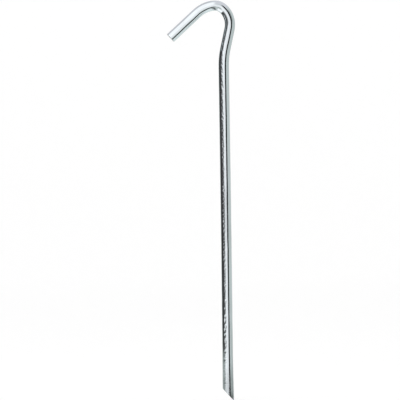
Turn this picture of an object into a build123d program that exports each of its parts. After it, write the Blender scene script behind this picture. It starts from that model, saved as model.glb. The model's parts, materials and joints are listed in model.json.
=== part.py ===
from build123d import *
import os
from math import cos, radians, sin

os.makedirs("parts", exist_ok=True)

# A tent stake bent from one length of round wire, in millimetres and degrees.
# Everything lies in the XZ plane: the straight shank runs down the Z axis to a sheared point,
# and the hook at the top opens towards -X. The origin is on the shank's axis at the ground line,
# so what is below Z = 0 is driven into the ground and the hook stands above it.

# Driving dimensions
wire_d = 6.0  # round steel wire
overall_height = 230.0  # lowest point to the outside of the hook's crest
driven_depth = 190.0  # lowest point to the ground line

neck_lean = 12.5  # the neck leans this far from the shank, away from the hook's mouth
neck_bend_r = 46.0  # bend radii are to the wire's centreline
neck_length = 11.5  # straight wire between the neck's bend and the hook's

shoulder_turn = 54.0  # easy start of the hook's bend
shoulder_r = 12.8
crest_turn = 54.0  # tight middle, wrapped round an 8 mm former
crest_r = 7.0
brow_turn = 37.0  # the bend opens out again into the arm
brow_r = 16.8
arm_length = 20.8  # straight wire from the hook's bend to its free end

point_angle = 41.0  # the sheared face against the shank's axis
point_edge_r = 0.12  # edge left on the sheared point
free_end_edge_r = 0.35  # edge left on the square-cut free end

# Heading of the wire, from straight up, where the tight bend starts
crest_start = shoulder_turn - neck_lean

# Height of the crest's outside above the place where the neck starts to bend
hook_rise = (
    neck_bend_r * sin(radians(neck_lean))
    + neck_length * cos(radians(neck_lean))
    + shoulder_r * (sin(radians(neck_lean)) + sin(radians(crest_start)))
    + crest_r * (1 - sin(radians(crest_start)))
    + wire_d / 2
)
neck_start = overall_height - driven_depth - hook_rise

# The sharp corner of the shear cut, below the lowest place on its rounded edge
corner_rounding = point_edge_r * ((1 + cos(radians(point_angle))) / sin(radians(point_angle)) - 1)
sharp_corner = -driven_depth - corner_rounding

# The stake: one circle swept along straight runs joined by tangent arcs
with BuildPart() as stake_rod:
    with BuildLine(Plane.XZ) as centreline:
        shank = Line((0, sharp_corner), (0, neck_start))
        neck_bend = JernArc(shank @ 1, shank % 1, neck_bend_r, -neck_lean)
        neck = Line(neck_bend @ 1, neck_bend @ 1 + (neck_bend % 1) * neck_length)
        shoulder = JernArc(neck @ 1, neck % 1, shoulder_r, shoulder_turn)
        crest = JernArc(shoulder @ 1, shoulder % 1, crest_r, crest_turn)
        brow = JernArc(crest @ 1, crest % 1, brow_r, brow_turn)
        arm = Line(brow @ 1, brow @ 1 + (brow % 1) * arm_length)
    with BuildSketch(Plane(origin=shank @ 0, z_dir=shank % 0)) as section:
        Circle(wire_d / 2)
    sweep(path=centreline)

    # The point is one slanted shear cut that leaves the wire's +X side longest
    point_normal = (cos(radians(point_angle)), 0, sin(radians(point_angle)))
    point_plane = Plane(origin=(wire_d / 2, 0, sharp_corner), z_dir=point_normal)
    split(bisect_by=point_plane, keep=Keep.TOP)

    point_face = faces().sort_by(Axis.Z)[0]
    fillet(point_face.edges(), radius=point_edge_r)
    free_end_face = faces().filter_by(GeomType.PLANE).sort_by(Axis.Z)[-1]
    fillet(free_end_face.edges(), radius=free_end_edge_r)

stake_rod.part.label = "stake_rod"
export_step(stake_rod.part, "parts/stake_rod.step")
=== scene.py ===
"""A zinc-plated round-wire tent stake: one bent rod with roller marks, draw lines and cut ends."""

import json
import math

import bpy
import numpy as np
from mathutils import Matrix, Vector


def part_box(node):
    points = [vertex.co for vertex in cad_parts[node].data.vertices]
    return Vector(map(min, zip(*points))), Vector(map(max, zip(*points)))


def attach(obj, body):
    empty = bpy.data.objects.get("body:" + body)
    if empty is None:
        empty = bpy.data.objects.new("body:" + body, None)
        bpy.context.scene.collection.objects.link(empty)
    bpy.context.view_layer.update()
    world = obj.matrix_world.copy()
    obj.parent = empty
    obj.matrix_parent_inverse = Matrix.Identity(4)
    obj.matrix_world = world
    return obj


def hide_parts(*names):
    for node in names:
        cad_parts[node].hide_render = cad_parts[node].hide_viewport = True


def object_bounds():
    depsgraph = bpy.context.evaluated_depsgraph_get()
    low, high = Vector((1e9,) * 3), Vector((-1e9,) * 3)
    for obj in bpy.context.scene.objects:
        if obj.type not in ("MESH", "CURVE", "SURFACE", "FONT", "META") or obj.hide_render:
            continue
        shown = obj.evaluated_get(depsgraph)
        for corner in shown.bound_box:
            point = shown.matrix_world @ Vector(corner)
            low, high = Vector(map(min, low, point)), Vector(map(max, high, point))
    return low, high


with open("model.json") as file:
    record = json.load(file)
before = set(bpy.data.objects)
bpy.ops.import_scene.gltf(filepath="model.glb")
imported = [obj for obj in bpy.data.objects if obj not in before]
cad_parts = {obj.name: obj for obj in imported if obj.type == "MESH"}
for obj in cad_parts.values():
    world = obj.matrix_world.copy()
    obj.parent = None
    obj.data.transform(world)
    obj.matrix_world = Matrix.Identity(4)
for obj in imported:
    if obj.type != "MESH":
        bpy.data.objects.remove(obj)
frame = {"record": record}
cad_low, cad_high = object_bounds()

MM = 0.001
SEED = 11


def mount(name):
    """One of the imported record's mounts."""
    return next(m for m in frame["record"]["mounts"] if m["name"] == name)


# ---------------------------------------------------------------- driving dimensions

WIRE_R = mount("shank")["dims"]["r_mm"] * MM
NODE_LOW, NODE_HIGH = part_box("stake_rod")

# The bent wire as in the CAD part, from the shank up: straight before the bend, bend radius, turn
BENDS = (
    (0.0 * MM, 46.0 * MM, math.radians(-12.5)),
    (11.5 * MM, 12.8 * MM, math.radians(54.0)),
    (0.0 * MM, 7.0 * MM, math.radians(54.0)),
    (0.0 * MM, 16.8 * MM, math.radians(37.0)),
)
ARM_LENGTH = 20.8 * MM
POINT_ANGLE = math.radians(41.0)

# The shear that cut the point pressed the wire a little wider and aside
SPREAD_LENGTH = 30 * MM
SPREAD_WIDER = 0.06
SPREAD_ASIDE = 0.10 * MM
BOW = 0.14 * MM  # left in the shank by the coil that the wire came from

# In the tightest bend the section gets thinner in the bend's plane and wider across it
BEND_THINNER = 0.022
BEND_WIDER = 0.012

# How far the cut edges are rounded. From the point's corner the rounding grows by POINT_EDGE_MORE
# to the front and back, and by twice that to the side away from the corner.
POINT_EDGE = 0.10 * MM
POINT_EDGE_MORE = 0.16 * MM
FREE_EDGE = 0.22 * MM

# Dents this deep are rubbed or bruised all over
RUBBED_DEPTH = 0.12 * MM
BRUISED_DEPTH = 0.06 * MM

# Mesh: rings of points round the wire
RING_STEP = 0.31 * MM
RING_POINTS = 96
EDGE_RINGS = 7
FACE_RINGS = 12
NEAR_EDGE = 4  # this ring from each end shows which way the wall leaves the edge
KEPT_RINGS = slice(3, -2)  # wall rings that the rounded edges don't reach
SLANT_BLEND = 16 * MM  # over this length the rings turn from the cut's slant to square
BAKE_STRIPS = 4


# ---------------------------------------------------------------- shape of the wire


def smooth_step(value):
    """0 below 0, 1 above 1, and an easy curve between."""
    t = np.clip(value, 0.0, 1.0)
    return t * t * (3.0 - 2.0 * t)


def angle_apart(a, b):
    """Signed angle from b to a, from -pi to pi."""
    return (a - b + math.pi) % (2 * math.pi) - math.pi


def hook_curve():
    """Arc length, X, Z, heading and bend of the wire's axis, from a little below the neck's bend up.

    The curvature steps of the drawing are eased a little, as they are in real bent wire.
    """
    step = 0.05 * MM
    ease = 0.8 * MM
    bends = [(before, radius * abs(turn), turn) for before, radius, turn in BENDS]
    lead = 4 * ease
    total = lead + sum(before + bent for before, bent, _ in bends) + ARM_LENGTH
    s = np.arange(0.0, total, step) - lead
    curvature = np.zeros_like(s)
    at = 0.0
    for before, bent, turn in bends:
        at += before
        curvature[(s >= at) & (s < at + bent)] = turn / bent
        at += bent
    reach = np.arange(-lead, lead + step, step)
    kernel = np.exp(-0.5 * (reach / ease) ** 2)
    curvature = np.convolve(curvature, kernel / kernel.sum(), mode="same")
    heading = np.cumsum(curvature) * step
    x = np.cumsum(-np.sin(heading)) * step
    z = np.cumsum(np.cos(heading)) * step
    return s, x, z, heading, curvature


class Axis:
    """The wire's axis by arc length from its lowest place, where the point's corner is."""

    def __init__(self):
        s, x, z, heading, curvature = hook_curve()
        crest = z.max()
        top = NODE_HIGH[2] - WIRE_R
        self.shank = (top - crest) - NODE_LOW[2]
        self.s = np.concatenate(([0.0], s + self.shank - s[0]))
        self.x = np.concatenate(([0.0], x))
        self.z = np.concatenate(([NODE_LOW[2]], z + top - crest))
        self.heading = np.concatenate(([0.0], heading))
        self.curvature = np.concatenate(([0.0], curvature))
        self.length = self.s[-1]

    def at(self, s):
        """X, Z, heading and bend at arc lengths s."""
        columns = (self.x, self.z, self.heading, self.curvature)
        return [np.interp(s, self.s, column) for column in columns]


# ---------------------------------------------------------------- marks on the wire


def dents_down(rng, start, stop, side, spread, lengths, widths, depths, steps, pitch=None, deepen=None):
    """Random dents down one side of the wire, and then down the opposite side.

    Each is (arc length, angle, half length, half width in radians, depth). side and its spread are
    in degrees. The rest are ranges: half lengths and steps in pitches, half widths in degrees and
    depths in millimetres. pitch gives the pitch at an arc length, 1 mm if left out, and deepen
    gives what the depths are multiplied by there.
    """
    marks = []
    for middle in (math.radians(side), math.radians(side + 180)):
        s = start
        while s < stop:
            pitch_here = pitch(s) if pitch else MM
            marks.append(
                (
                    s,
                    middle + rng.normal(0, math.radians(spread)),
                    rng.uniform(*lengths) * pitch_here,
                    math.radians(rng.uniform(*widths)),
                    rng.uniform(*depths) * MM * (deepen(s) if deepen else 1.0),
                )
            )
            s += rng.uniform(*steps) * pitch_here
    return marks


def roller_marks(rng, shank):
    """Dents that the straightener's feed rollers leave down two opposite sides of the wire.

    They are deepest a little above the point and halfway up, closest below the neck, faint in it.
    """
    places = np.array([0, 26, 36, 58, 68, 98, 106, 116, 130, 150, 190, 202, 230]) * MM
    strengths = np.array([0.0, 0.5, 1.9, 1.9, 1.3, 1.3, 1.8, 1.8, 1.3, 1.3, 1.2, 0.4, 0.2])
    pitches = np.array([3.2, 3.2, 3.4, 3.0, 2.3, 2.4, 2.0, 2.0, 2.3, 1.8, 1.7, 2.4, 3.0]) * MM
    return dents_down(
        rng,
        start=26 * MM,
        stop=shank + 24 * MM,
        side=-24,
        spread=5,
        lengths=(0.2, 0.4),
        widths=(6, 10),
        depths=(0.05, 0.17),
        steps=(0.55, 1.45),
        pitch=lambda s: np.interp(s, places, pitches),
        deepen=lambda s: np.interp(s, places, strengths),
    )


def grit_pits(rng, shank):
    """Small pits from grit between the rollers and the wire."""
    return dents_down(
        rng,
        start=44 * MM,
        stop=shank + 22 * MM,
        side=-40,
        spread=14,
        lengths=(0.28, 0.5),
        widths=(4, 8),
        depths=(0.02, 0.075),
        steps=(0.5, 1.4),
    )


def crinkles(rng):
    """Fine wrinkles above the point, where the shear squeezed the wire."""
    return dents_down(
        rng,
        start=4 * MM,
        stop=27 * MM,
        side=-22,
        spread=12,
        lengths=(0.3, 0.7),
        widths=(6, 14),
        depths=(0.008, 0.036),
        steps=(0.25, 0.8),
    )


def former_marks(axis):
    """Bruises where the bending pin held the inside of the crest, as dents_down gives them."""
    crest = axis.s[np.argmax(axis.z)]
    return [
        (crest + 1.4 * MM, math.radians(-28), 0.9 * MM, math.radians(7), 0.06 * MM),
        (crest + 0.6 * MM, math.radians(-39), 0.8 * MM, math.radians(10), 0.09 * MM),
        (crest - 0.2 * MM, math.radians(-50), 0.6 * MM, math.radians(10), 0.09 * MM),
    ]


def dents(s, angle, marks):
    """Depth of all the marks at the points (s, angle), a row of them for each ring."""
    depth = np.zeros_like(s)
    for at, side, length, width, deep in marks:
        # Rings near the point slant, so each covers less than SLANT_BLEND of the length
        near = np.abs(s[:, 0] - at) < 3 * length + SLANT_BLEND
        along = (s[near] - at) / length
        across = angle_apart(angle[near], side) / width
        depth[near] += deep * np.exp(-(along**2) - across**2)
    return depth


def swells(s, angle, rng):
    """Low, uneven swells of the drawn and plated surface."""
    height = np.zeros_like(s)
    for _ in range(40):
        length = rng.uniform(3.0, 22.0) * MM
        around = rng.integers(0, 5)
        phase = rng.uniform(0, 2 * math.pi)
        size = rng.uniform(0.6, 2.2) * 0.001 * MM * (length / (6 * MM)) ** 0.5
        height += size * np.cos(2 * math.pi * s / length + around * angle + phase)
    return height


def scuffing_and_tip_shade(s, angle):
    """How dull and dark each point is: painted shade at the point's end, and long patches down the front
    worn dull by handling.
    """
    # Painted shade: the point's end is made duller and darker
    dull = smooth_step((24 * MM - s) / (18 * MM))
    patches = (
        # arc length, angle in degrees, half length, half width in degrees, strength
        (108 * MM, -14, 19 * MM, 28, 1.0),
        (74 * MM, -24, 12 * MM, 20, 0.4),
        (142 * MM, -20, 13 * MM, 18, 0.4),
        # This patch is painted shade down the right side above the point; the others are handling wear
        (18 * MM, 72, 24 * MM, 40, 0.8),
        (150 * MM, 170, 30 * MM, 40, 0.6),
        (60 * MM, -140, 24 * MM, 35, 0.6),
    )
    for at, side, length, width, strength in patches:
        along = (s - at) / length
        across = angle_apart(angle, math.radians(side)) / math.radians(width)
        dull = dull + strength * np.exp(-(along**4) - across**2)
    return np.clip(dull, 0, 1)


def painted_point_shade(s, angle):
    """How much painted shade darkens each point, on the point's front and right side."""
    shade_patches = [
        (2.0 * MM, math.radians(38), 2.4 * MM, math.radians(26), 0.65),
        (4.0 * MM, math.radians(66), 10.0 * MM, math.radians(42), 0.36),
    ]
    return dents(s, angle, shade_patches)


# ---------------------------------------------------------------- the rod's mesh

# What a mesh point holds: place in the stake (3), place on the wire before bending (3), and masks
PLACE, STRAIGHT = slice(0, 3), slice(3, 6)
STRAIGHT_X, STRAIGHT_Y = 3, 4
# The scuffed and bruised masks also carry painted shade near the point
MASKS = ("roller_mark", "bruised_and_tip_shade", "scuffed_and_tip_shade", "sheared")
SHEARED = STRAIGHT.stop + MASKS.index("sheared")


def wire_radius(s, angle, axis, marks, rng):
    """Radius of the wire at each point: flattened in the bends, dented and a little uneven."""
    _, _, _, curvature = axis.at(s)
    tightest = min(radius for _, radius, _ in BENDS)
    bend = np.clip(np.abs(curvature) * tightest, 0, 1)
    in_plane = np.sin(angle) ** 2
    oval = 1 - BEND_THINNER * bend * in_plane + BEND_WIDER * bend * (1 - in_plane)
    return WIRE_R * oval - marks + swells(s, angle, rng)


def wall_rings(axis):
    """The wire's wall as rings of points, from the sheared point to the free end."""
    rng = np.random.default_rng(SEED)
    rings = round(axis.length / RING_STEP)
    s, angle = np.meshgrid(
        np.linspace(0.0, axis.length, rings),
        np.linspace(-math.pi, math.pi, RING_POINTS, endpoint=False),
        indexing="ij",
    )
    slant = WIRE_R * (1 - np.sin(angle)) / math.tan(POINT_ANGLE)
    s = s + slant * np.clip(1 - s / SLANT_BLEND, 0, 1)

    rolled = dents(s, angle, roller_marks(rng, axis.shank) + grit_pits(rng, axis.shank))
    rolled += dents(s, angle, crinkles(np.random.default_rng(SEED + 1)))
    bruised_and_tip_shade = dents(s, angle, former_marks(axis))
    radius = wire_radius(s, angle, axis, rolled + bruised_and_tip_shade, rng)
    spread = smooth_step(1 - s / SPREAD_LENGTH)
    bow = BOW * np.sin(math.pi * np.clip(s / axis.shank, 0, 1))
    out = radius * np.sin(angle) * (1 + SPREAD_WIDER * spread) + SPREAD_ASIDE * spread + bow
    front = radius * np.cos(angle) * (1 - 0.5 * SPREAD_WIDER * spread)

    x, z, heading, _ = axis.at(s)
    columns = (
        x + out * np.cos(heading),
        -front,
        z + out * np.sin(heading),
        out,
        -front,
        s,
        np.clip(rolled / RUBBED_DEPTH, 0, 1),
        # Dark bruises at the crest, and painted shade near the point
        np.clip(bruised_and_tip_shade / BRUISED_DEPTH + painted_point_shade(s, angle), 0, 1),
        scuffing_and_tip_shade(s, angle),
        np.zeros_like(s),
    )
    return np.stack(columns, axis=-1)


def torn_face(ring, rng):
    """Fine relief of a sheared face at a ring's points: smooth where the shear went in, torn beyond."""
    x, y = ring[:, STRAIGHT_X], ring[:, STRAIGHT_Y]
    torn = smooth_step(0.5 + x / WIRE_R)
    relief = np.zeros(len(ring))
    for _ in range(24):
        length = rng.uniform(0.35, 1.4) * MM
        turn = rng.normal(0, 0.5)
        phase = rng.uniform(0, 2 * math.pi)
        along = (y * math.cos(turn) + x * math.sin(turn)) / length
        relief += 0.006 * length * np.cos(2 * math.pi * along + phase)
    return relief * (0.2 + 0.8 * torn)


def end_rings(edge, wall, size):
    """Rings that round a cut edge and run in over the cut face, and the point in its middle.

    wall is a ring of the wall near the edge, and size is how far the rounding reaches at each point.
    """
    middle = edge.mean(axis=0)
    back, inward = wall - edge, middle - edge
    back = back / np.linalg.norm(back[:, PLACE], axis=1)[:, None]
    inward = inward / np.linalg.norm(inward[:, PLACE], axis=1)[:, None]
    rings = []
    for t in np.linspace(0, 1, EDGE_RINGS):
        ring = edge + size[:, None] * ((1 - t) ** 2 * back + t**2 * inward)
        ring[:, SHEARED] = t
        rings.append(ring)
    rim = rings[-1]
    outward = -back[:, PLACE].mean(axis=0)
    for i in range(1, FACE_RINGS):
        t = i / FACE_RINGS
        ring = rim + (middle - rim) * t
        ring[:, SHEARED] = 1
        relief = torn_face(ring, np.random.default_rng(SEED)) * min(1, 3 * t)
        ring[:, PLACE] += relief[:, None] * outward
        rings.append(ring)
    middle[SHEARED] = 1
    return np.array(rings), middle


def rod_points(axis):
    """All rings of the closed rod from the point's face to the free end's, and the faces' middles."""
    wall = wall_rings(axis)
    side = wall[0, :, STRAIGHT_X] / WIRE_R
    point_edge = POINT_EDGE + POINT_EDGE_MORE * (1 - side)
    free_edge = np.full(RING_POINTS, FREE_EDGE)
    low, low_middle = end_rings(wall[0], wall[NEAR_EDGE], point_edge)
    high, high_middle = end_rings(wall[-1], wall[-1 - NEAR_EDGE], free_edge)
    rings = np.concatenate((low[::-1], wall[KEPT_RINGS], high))
    return rings, np.array([low_middle, high_middle])


def rod_faces(rings):
    """Corner indices of the triangles round the first middle, the quads, and the last triangles."""
    column = np.arange(RING_POINTS)
    beside = (column + 1) % RING_POINTS
    low_middle = rings * RING_POINTS
    last = (rings - 1) * RING_POINTS
    faces = [(low_middle, b, c) for c, b in zip(column.tolist(), beside.tolist())]
    for first in range(0, last, RING_POINTS):
        above = first + RING_POINTS
        quads = (first + column, first + beside, above + beside, above + column)
        faces += np.stack(quads, axis=-1).tolist()
    faces += [(low_middle + 1, last + c, last + b) for c, b in zip(column.tolist(), beside.tolist())]
    return faces


def bake_layout(mesh, rings):
    """Lays the wire out for baked maps, as even strips side by side."""
    rows = rings + 1
    rows_each = math.ceil(rows / BAKE_STRIPS)
    margin = 0.012

    def corners(row, rise, column, shift):
        row, column = np.meshgrid(row, column, indexing="ij")
        row, column = row[..., None], column[..., None]
        strip = row // rows_each
        across = margin + (1 - 2 * margin) * (column + np.array(shift)) / RING_POINTS
        along = margin + (1 - 2 * margin) * (row + np.array(rise) - strip * rows_each) / rows_each
        return np.stack(((strip + across) / BAKE_STRIPS, along), axis=-1).reshape(-1, 2)

    column = np.arange(RING_POINTS)
    layout = (
        corners([0], (0, 1, 1), column, (0.5, 1, 0)),
        corners(np.arange(1, rings), (0, 0, 1, 1), column, (0, 1, 1, 0)),
        corners([rings], (1, 0, 0), column, (0.5, 0, 1)),
    )
    layer = mesh.uv_layers.new(name="OFBake")
    layer.data.foreach_set("uv", np.concatenate(layout).astype(np.float32).ravel())


def stake_rod(axis):
    """The whole bent rod as one closed mesh."""
    rings, middles = rod_points(axis)
    points = np.concatenate((rings.reshape(-1, rings.shape[-1]), middles))
    mesh = bpy.data.meshes.new("zinc_plated_rod")
    mesh.from_pydata(points[:, PLACE].tolist(), [], rod_faces(len(rings)))
    straight = mesh.attributes.new("straight_wire", "FLOAT_VECTOR", "POINT")
    straight.data.foreach_set("vector", points[:, STRAIGHT].astype(np.float32).ravel())
    for column, name in enumerate(MASKS, start=STRAIGHT.stop):
        mask = mesh.attributes.new(name, "FLOAT", "POINT")
        mask.data.foreach_set("value", points[:, column].astype(np.float32))
    bake_layout(mesh, len(rings))
    mesh.shade_smooth()
    piece = bpy.data.objects.new("zinc_plated_rod", mesh)
    bpy.context.scene.collection.objects.link(piece)
    return piece


# ---------------------------------------------------------------- material


class Shading:
    """Short names for the nodes of one material."""

    def __init__(self, name):
        self.material = bpy.data.materials.new(name)
        self.material.use_nodes = True
        self.tree = self.material.node_tree
        self.shader = self.tree.nodes["Principled BSDF"]

    def node(self, kind, settings=None, **inputs):
        """A node with its settings, and its inputs linked or filled in by their order or name."""
        made = self.tree.nodes.new(kind)
        for name, value in (settings or {}).items():
            setattr(made, name, value)
        for name, value in inputs.items():
            self.feed(made.inputs[name.replace("_", " ")], value)
        return made

    def feed(self, socket, value):
        """Links value to the socket if it is an output, and sets it if it is a number or a colour."""
        if isinstance(value, bpy.types.NodeSocket):
            self.tree.links.new(value, socket)
        else:
            socket.default_value = value

    def attribute(self, name, output="Fac"):
        return self.node("ShaderNodeAttribute", {"attribute_name": name}).outputs[output]

    def math(self, operation, first, second):
        made = self.node("ShaderNodeMath", {"operation": operation})
        self.feed(made.inputs[0], first)
        self.feed(made.inputs[1], second)
        return made.outputs[0]

    def stretched(self, place, across, along):
        """The place on the straight wire, scaled across and along it."""
        made = self.node("ShaderNodeVectorMath", {"operation": "MULTIPLY"})
        self.feed(made.inputs[0], place)
        made.inputs[1].default_value = (across, across, along)
        return made.outputs[0]

    def noise(self, vector, scale, detail=2.0, roughness=0.5):
        made = self.node(
            "ShaderNodeTexNoise", Vector=vector, Scale=scale, Detail=detail, Roughness=roughness
        )
        return made.outputs["Fac"]

    def between(self, value, low, high, to_low=0.0, to_high=1.0):
        """value eased from low..high to to_low..to_high."""
        made = self.node(
            "ShaderNodeMapRange",
            {"interpolation_type": "SMOOTHSTEP"},
            Value=value,
            From_Min=low,
            From_Max=high,
            To_Min=to_low,
            To_Max=to_high,
        )
        return made.outputs["Result"]

    def mix(self, factor, first, second):
        """Colour first, or second where factor is 1."""
        made = self.node("ShaderNodeMix", {"data_type": "RGBA"})
        self.feed(made.inputs[0], factor)
        self.feed(made.inputs[6], first)
        self.feed(made.inputs[7], second)
        return made.outputs[2]

    def mix_values(self, factor, first, second):
        """Number first, or second where factor is 1."""
        made = self.node("ShaderNodeMix", {"data_type": "FLOAT"})
        self.feed(made.inputs[0], factor)
        self.feed(made.inputs[2], first)
        self.feed(made.inputs[3], second)
        return made.outputs[0]

    def bump(self, height, distance, normal=None):
        made = self.node("ShaderNodeBump", Height=height, Distance=distance, Strength=1.0)
        if normal is not None:
            self.feed(made.inputs["Normal"], normal)
        return made.outputs["Normal"]


BRIGHT_ZINC = (0.855, 0.905, 0.945, 1)
GREY_ZINC = (0.785, 0.830, 0.860, 1)
# Dull zinc for scratches and handling wear, and also the painted shade at the point's end
DULL_ZINC_AND_TIP_SHADE = (0.530, 0.562, 0.582, 1)
RUBBED_ZINC = (0.500, 0.525, 0.545, 1)
# Very dark: bruises, and the painted shade near the point
BRUISED_ZINC_AND_TIP_SHADE = (0.165, 0.170, 0.175, 1)
SHEARED_STEEL = (0.430, 0.425, 0.420, 1)


def zinc_plating():
    """Bright zinc over drawn steel wire, rubbed by the rollers, dull where handled, bare where sheared;
    painted shade darkens the point.
    """
    look = Shading("bright_zinc_plating")
    wire = look.stretched(look.attribute("straight_wire", "Vector"), 1 / MM, 1 / MM)
    clouds = look.noise(look.stretched(wire, 0.35, 0.06), 1.0, 3.0)
    streaks = look.noise(look.stretched(wire, 2.6, 0.10), 1.0, 3.0, 0.6)
    grain = look.noise(wire, 3.2, 2.0)
    scratches = look.between(look.noise(look.stretched(wire, 5.5, 0.22), 1.0, 1.0), 0.66, 0.74)

    flecks = look.between(look.noise(wire, 1.15, 2.0), 0.44, 0.60)
    rubbed = look.math("MULTIPLY", look.attribute("roller_mark"), flecks)
    # Handling wear, and painted shade at the point's end
    scuffed_and_tip_shade = look.math("MULTIPLY", look.attribute("scuffed_and_tip_shade"), look.between(streaks, 0.22, 0.62))
    # Real bruises, and painted shade near the point
    bruised_and_tip_shade = look.math("MULTIPLY", look.attribute("bruised_and_tip_shade"), look.between(grain, 0.2, 0.5, 0.6, 1.0))
    sheared = look.between(look.attribute("sheared"), 0.35, 0.75)

    colour = look.mix(look.between(clouds, 0.35, 0.7), BRIGHT_ZINC, GREY_ZINC)
    colour = look.mix(look.between(streaks, 0.5, 0.8, 0.0, 0.5), colour, GREY_ZINC)
    colour = look.mix(look.math("MULTIPLY", scuffed_and_tip_shade, 0.85), colour, DULL_ZINC_AND_TIP_SHADE)
    colour = look.mix(look.math("MULTIPLY", rubbed, 0.8), colour, RUBBED_ZINC)
    colour = look.mix(look.math("MULTIPLY", scratches, 0.3), colour, DULL_ZINC_AND_TIP_SHADE)
    colour = look.mix(bruised_and_tip_shade, colour, BRUISED_ZINC_AND_TIP_SHADE)
    look.feed(look.shader.inputs["Base Color"], look.mix(sheared, colour, SHEARED_STEEL))

    roughness = look.between(clouds, 0.3, 0.75, 0.045, 0.085)
    roughness = look.math("ADD", roughness, look.between(grain, 0.3, 0.8, 0.0, 0.03))
    roughness = look.math("ADD", roughness, look.math("MULTIPLY", scuffed_and_tip_shade, 0.12))
    roughness = look.math("ADD", roughness, look.math("MULTIPLY", rubbed, 0.36))
    roughness = look.math("ADD", roughness, look.math("MULTIPLY", scratches, 0.10))
    roughness = look.math("ADD", roughness, look.math("MULTIPLY", bruised_and_tip_shade, 0.12))
    torn = look.between(grain, 0.3, 0.7, 0.30, 0.48)
    look.feed(look.shader.inputs["Roughness"], look.mix_values(sheared, roughness, torn))

    drawn = look.noise(look.stretched(wire, 4.5, 0.05), 1.0, 2.0)
    uneven = look.math("ADD", look.attribute("roller_mark"), look.math("MULTIPLY", scuffed_and_tip_shade, 0.3))
    mottled = look.math("MULTIPLY", look.noise(wire, 1.7, 3.0), uneven)
    normal = look.bump(drawn, 0.002 * MM)
    normal = look.bump(mottled, 0.05 * MM, normal)
    normal = look.bump(grain, 0.0012 * MM, normal)
    normal = look.bump(scratches, -0.002 * MM, normal)
    torn_lines = look.noise(look.stretched(wire, 1.2, 3.0), 2.5, 4.0, 0.7)
    normal = look.bump(look.math("MULTIPLY", torn_lines, sheared), 0.05 * MM, normal)
    look.feed(look.shader.inputs["Normal"], normal)
    look.shader.inputs["Metallic"].default_value = 1.0
    return look.material


# ---------------------------------------------------------------- studio

# Tints of what the metal mirrors
WHITE = (1.0, 1.0, 1.0)
ROOM = (0.93, 1.0, 0.967)
LILAC = (0.98, 0.968, 1.0)
SHADE = (0.7, 1.0, 1.05)

# How bright the dome's walls, the flag and the floor are
ROOM_GLOW = 0.64
FLAG_GLOW = 0.045
FLOOR_GREY = 0.5
FLOOR_GLOW = 0.56

# The light dome's panels, walls and gaps, each over those before it. An angle off the camera's
# axis is 0 towards the camera and 180 behind the stake; a turn about it is 0 to the right, 90 up.
# From angle, to angle, its soft edge; turn, half width of turn, its soft edge; glow; colour.
DOME = (
    (40, 181, 20, 74, 30, 24, 0.76, LILAC),
    (80, 181, 16, 132, 36, 20, 0.64, LILAC),
    (50, 181, 20, -60, 34, 24, 0.82, ROOM),
    (76, 130, 14, -88, 7, 10, 0.32, ROOM),
    (40, 181, 10, 0, 24, 26, 0.60, ROOM),
    (50, 181, 40, 180, 30, 20, 0.50, ROOM),
    (-4, 24, 6, 0, 200, 10, 0.93, WHITE),
    (12, 84, 8, 132, 42, 12, 1.13, WHITE),
    (-4, 52, 30, 180, 40, 20, 1.03, WHITE),
    (22, 50, 6, -118, 14, 10, 0.5, ROOM),
    (54, 126, 16, -130, 21, 8, 1.12, WHITE),
    (40, 74, 16, 26, 14, 16, 0.25, ROOM),
    (22.5, 52, 2, 14, 48, 16, 0.01, SHADE),
    (36, 61, 2, -44, 24, 14, 0.01, SHADE),
    (28, 50, 2, -78, 14, 14, 0.01, SHADE),
)
DOME_RADIUS = 1.6


def link_staged(name, mesh):
    """Puts a studio mesh in the scene."""
    piece = bpy.data.objects.new(name, mesh)
    bpy.context.scene.collection.objects.link(piece)
    return piece


def only_in_reflections(piece):
    """Keeps a studio piece out of the picture, except where the metal mirrors it."""
    piece.visible_camera = False
    piece.visible_diffuse = False
    piece.visible_shadow = False
    piece.visible_transmission = False


def glow_by_attribute(name, cover=None):
    """A glow in the mesh's glow colour; cover names an attribute of how solid the piece is."""
    look = Shading(name)
    look.tree.nodes.remove(look.shader)
    surface = look.node("ShaderNodeEmission", Color=look.attribute("glow", "Color")).outputs[0]
    if cover:
        clear = look.tree.nodes.new("ShaderNodeBsdfTransparent").outputs[0]
        part_clear = look.node("ShaderNodeMixShader", Fac=look.attribute(cover))
        look.feed(part_clear.inputs[1], clear)
        look.feed(part_clear.inputs[2], surface)
        surface = part_clear.outputs[0]
    look.feed(look.tree.nodes["Material Output"].inputs["Surface"], surface)
    return look.material


def grid_faces(rows, columns, closed=True):
    """Quads between rows of points; closed joins each row's last point to its first."""
    faces = []
    for first in range(0, (rows - 1) * columns, columns):
        for column in range(columns if closed else columns - 1):
            beside = (column + 1) % columns
            above = first + columns
            faces.append((first + column, first + beside, above + beside, above + column))
    return faces


def dome_glow(off_axis, turn):
    """Colour of the dome in each direction, angles in degrees."""

    def within(value, low, high, soft):
        return smooth_step((value - low) / soft + 0.5) * smooth_step((high - value) / soft + 0.5)

    glow = np.full(off_axis.shape + (3,), ROOM_GLOW) * np.array(ROOM)
    for low, high, soft, middle, half, turn_soft, strength, colour in DOME:
        apart = np.degrees(np.abs(angle_apart(np.radians(turn), math.radians(middle))))
        cover = within(off_axis, low, high, soft) * within(apart, -turn_soft, half, turn_soft)
        glow += (np.array(colour) * strength - glow) * cover[..., None]
    return glow


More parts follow.
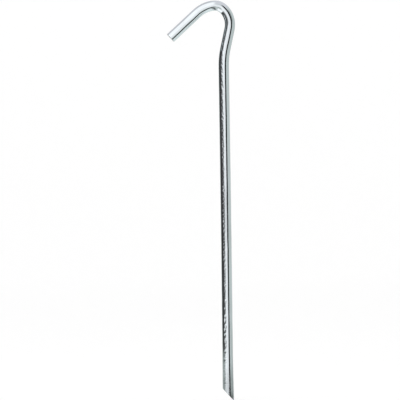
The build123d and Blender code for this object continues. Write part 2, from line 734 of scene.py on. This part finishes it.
def light_dome():
    """A dome of white panels and dark gaps all round the stake, seen only in the metal."""
    middle = [(low + high) / 2 for low, high in zip(cad_low, cad_high)]
    off_axis, turn = np.meshgrid(np.linspace(0.5, 179.5, 180), np.arange(0, 360, 3), indexing="ij")
    polar, azimuth = np.radians(off_axis), np.radians(turn)
    places = (
        middle[0] + DOME_RADIUS * np.sin(polar) * np.cos(azimuth),
        middle[1] - DOME_RADIUS * np.cos(polar),
        middle[2] + DOME_RADIUS * np.sin(polar) * np.sin(azimuth),
    )
    rows, columns = off_axis.shape
    faces = grid_faces(rows, columns)
    faces += [tuple(range(columns)), tuple(range((rows - 1) * columns, rows * columns))]
    mesh = bpy.data.meshes.new("light_dome")
    mesh.from_pydata(np.stack(places, axis=-1).reshape(-1, 3).tolist(), [], faces)
    glow = mesh.attributes.new("glow", "FLOAT_COLOR", "POINT")
    colour = np.concatenate((dome_glow(off_axis, turn), np.ones(off_axis.shape + (1,))), axis=-1)
    glow.data.foreach_set("color", colour.astype(np.float32).ravel())
    mesh.materials.append(glow_by_attribute("dome_light"))
    only_in_reflections(link_staged("light_dome", mesh))


def black_flag():
    """A dark card with feathered edges, close to the stake's left, mirrored down its left side.

    It is clear at its front edge and solid from full back, and it starts further back higher up.
    """
    away, soft = -0.28, 0.02
    high, back = 0.14, 0.28
    y, z = np.meshgrid(np.linspace(-0.88, 0.32, 61), np.linspace(-0.20, 0.16, 37), indexing="ij")
    low = -0.179 + 0.008 * smooth_step((-0.1 - y) / 0.4)
    rise = smooth_step(z / 0.08)
    front, full = -0.84 + 0.46 * rise, -0.02 - 0.11 * rise
    cover = smooth_step((y - front) / (full - front)) * smooth_step((back - y) / soft + 0.5)
    cover *= smooth_step((z - low) / soft + 0.5) * smooth_step((high - z) / soft + 0.5)
    places = np.stack((np.full_like(y, away), y, z), axis=-1).reshape(-1, 3)
    mesh = bpy.data.meshes.new("black_flag")
    mesh.from_pydata(places.tolist(), [], grid_faces(*y.shape, closed=False))
    glow = mesh.attributes.new("glow", "FLOAT_COLOR", "POINT")
    glow.data.foreach_set("color", np.tile((FLAG_GLOW, FLAG_GLOW, FLAG_GLOW, 1.0), y.size))
    solid = mesh.attributes.new("solid", "FLOAT", "POINT")
    solid.data.foreach_set("value", cover.astype(np.float32).ravel())
    mesh.materials.append(glow_by_attribute("black_card", cover="solid"))
    only_in_reflections(link_staged("black_flag", mesh))


def pale_floor():
    """A pale floor that curves up into a wall all round."""
    floor_z = cad_low[2]
    radius, cove, height, turns = 4.0, 1.0, 4.5, 96
    profile = [(0.5, 0.0), (1.5, 0.0), (radius - cove, 0.0)]
    for angle in np.linspace(0, math.pi / 2, 13)[1:]:
        profile.append((radius - cove + cove * math.sin(angle), cove - cove * math.cos(angle)))
    profile.append((radius, height))
    vertices = [(0, 0, floor_z)]
    for reach, rise in profile:
        for angle in np.linspace(0, 2 * math.pi, turns, endpoint=False):
            vertices.append((reach * math.cos(angle), reach * math.sin(angle), floor_z + rise))
    faces = [(0, 1 + k, 1 + (k + 1) % turns) for k in range(turns)]
    for row in range(len(profile) - 1):
        a, b = 1 + row * turns, 1 + (row + 1) * turns
        faces += [(a + k, b + k, b + (k + 1) % turns, a + (k + 1) % turns) for k in range(turns)]
    mesh = bpy.data.meshes.new("floor")
    mesh.from_pydata(vertices, [], faces)
    mesh.shade_smooth()
    look = Shading("pale_floor")
    look.shader.inputs["Base Color"].default_value = (FLOOR_GREY, FLOOR_GREY, FLOOR_GREY, 1)
    look.shader.inputs["Roughness"].default_value = 1.0
    look.shader.inputs["Specular IOR Level"].default_value = 0.0
    look.shader.inputs["Emission Color"].default_value = (1, 1, 1, 1)
    look.shader.inputs["Emission Strength"].default_value = FLOOR_GLOW
    mesh.materials.append(look.material)
    link_staged("floor", mesh).visible_glossy = False


def world_light():
    """The pale room round the studio, which lights the floor."""
    world = bpy.data.worlds.new("pale_room")
    world.use_nodes = True
    world.node_tree.nodes["Background"].inputs["Color"].default_value = (1, 1, 1, 1)
    world.node_tree.nodes["Background"].inputs["Strength"].default_value = 0.6
    bpy.context.scene.world = world


def top_light():
    """Soft light on the floor; the metal mirrors the dome and not the lamp."""
    data = bpy.data.lights.new("top_light", "AREA")
    data.shape = "DISK"
    data.size = 1.2
    data.energy = 4
    lamp = bpy.data.objects.new("top_light", data)
    lamp.location = (-0.5, -0.6, 1.6)
    towards = Vector((0, 0, NODE_LOW[2])) - lamp.location
    lamp.rotation_euler = towards.to_track_quat("-Z", "Y").to_euler()
    lamp.visible_glossy = False
    bpy.context.scene.collection.objects.link(lamp)


def camera():
    """Long lens, level, looking along +Y, rolled so that the stake leans a little to the left."""
    view_height = 229.8 * MM
    lean = math.radians(-0.76)
    data = bpy.data.cameras.new("camera")
    data.sensor_width = 36
    data.lens = 300
    data.clip_start, data.clip_end = 0.1, 50
    distance = view_height * data.lens / data.sensor_width
    right = Vector((math.cos(lean), 0, math.sin(lean)))
    up = Vector((-math.sin(lean), 0, math.cos(lean)))
    back = Vector((0, -1, 0))
    centre = Vector((-14.65 * MM, 0, -74.6 * MM))
    cam = bpy.data.objects.new("camera", data)
    turned = Matrix((right, up, back)).transposed().to_4x4()
    cam.matrix_world = Matrix.Translation(centre + back * distance) @ turned
    bpy.context.scene.collection.objects.link(cam)
    bpy.context.scene.camera = cam


bpy.context.scene.view_settings.view_transform = "Standard"
camera()
world_light()
light_dome()
black_flag()
pale_floor()
top_light()

rod = stake_rod(Axis())
rod.data.materials.append(zinc_plating())
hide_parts("stake_rod")
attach(rod, "root")
